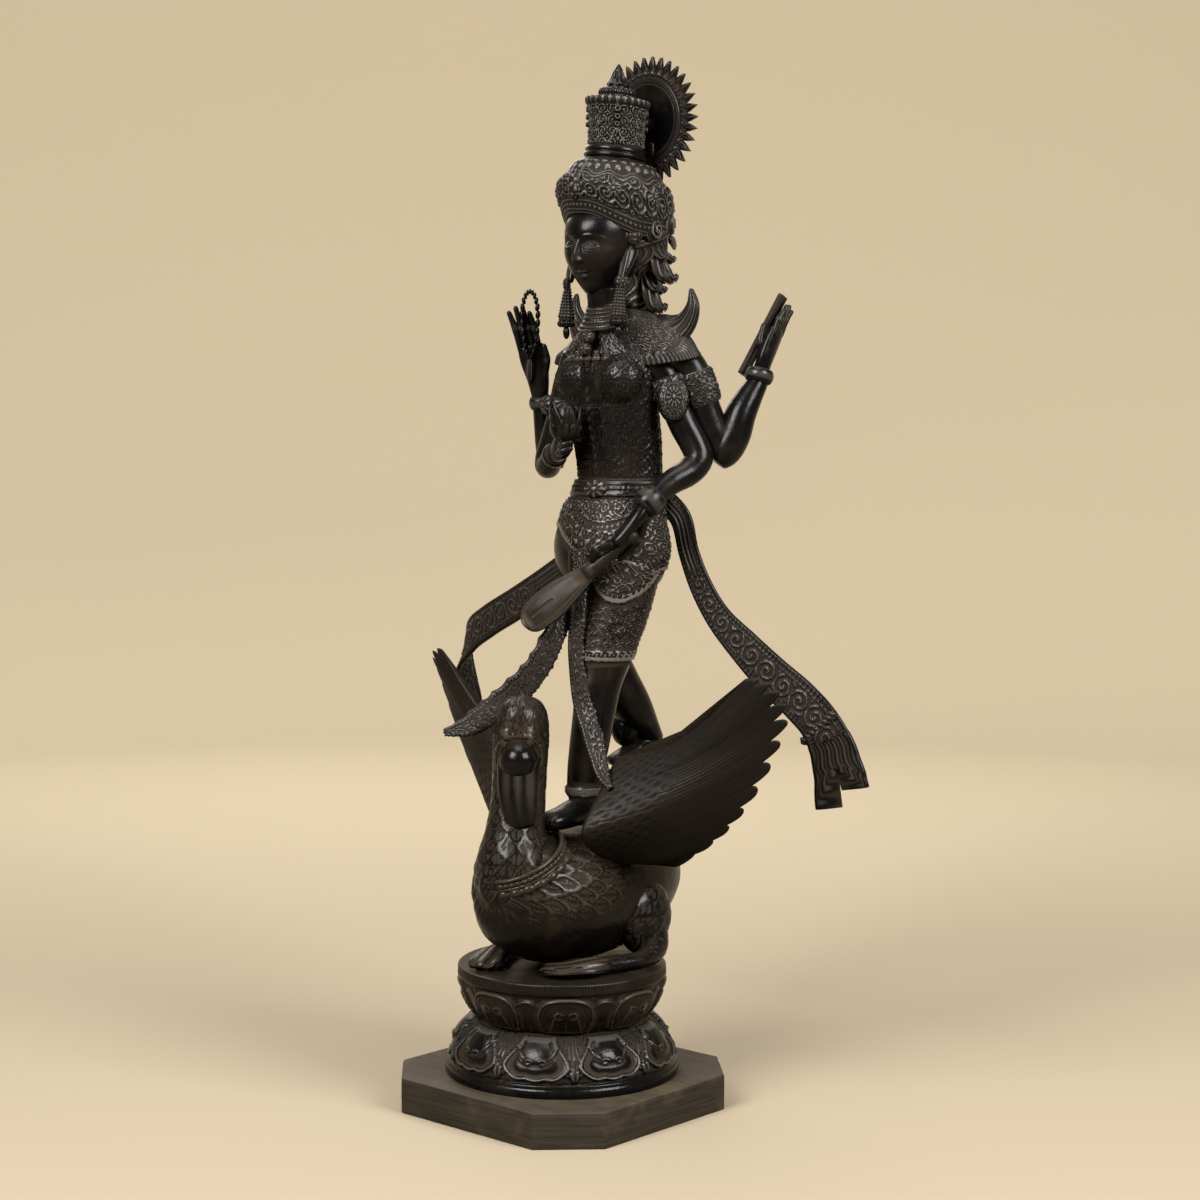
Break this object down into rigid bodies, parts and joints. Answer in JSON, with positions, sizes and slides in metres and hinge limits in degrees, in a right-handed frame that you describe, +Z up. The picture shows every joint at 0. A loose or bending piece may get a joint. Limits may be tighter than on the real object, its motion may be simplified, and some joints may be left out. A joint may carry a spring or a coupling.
{
  "type": "goddess figure on a swan",
  "caption": "Cast standing goddess with four arms, crown and halo on a swan with raised wings, on a double lotus and a cut-corner plinth.",
  "frame": {"origin": "middle of the plinth's underside", "axes": "+Z up, the figure faces -Y, its own left is +X"},
  "size_m": [0.5019, 0.3276, 1.0126],
  "materials": {
    "dark_bronze": "near-black patina, polished on the smooth skin, dusty in the hollows",
    "brown_bronze": "brown patina, dull on the wings, worn dark and shiny on the bill and knob",
    "dusty_bronze": "brown patina under settled dust",
    "stained_wood": "dark stained, dull, worn"
  },
  "bodies": {
    "root": {"plinth": "stained_wood", "lotus_base": "dark_bronze", "swan": "brown_bronze", "figure": "dark_bronze", "lute": "dusty_bronze", "manuscript": "dark_bronze", "rosary": "dark_bronze"}
  },
  "joints": []
}
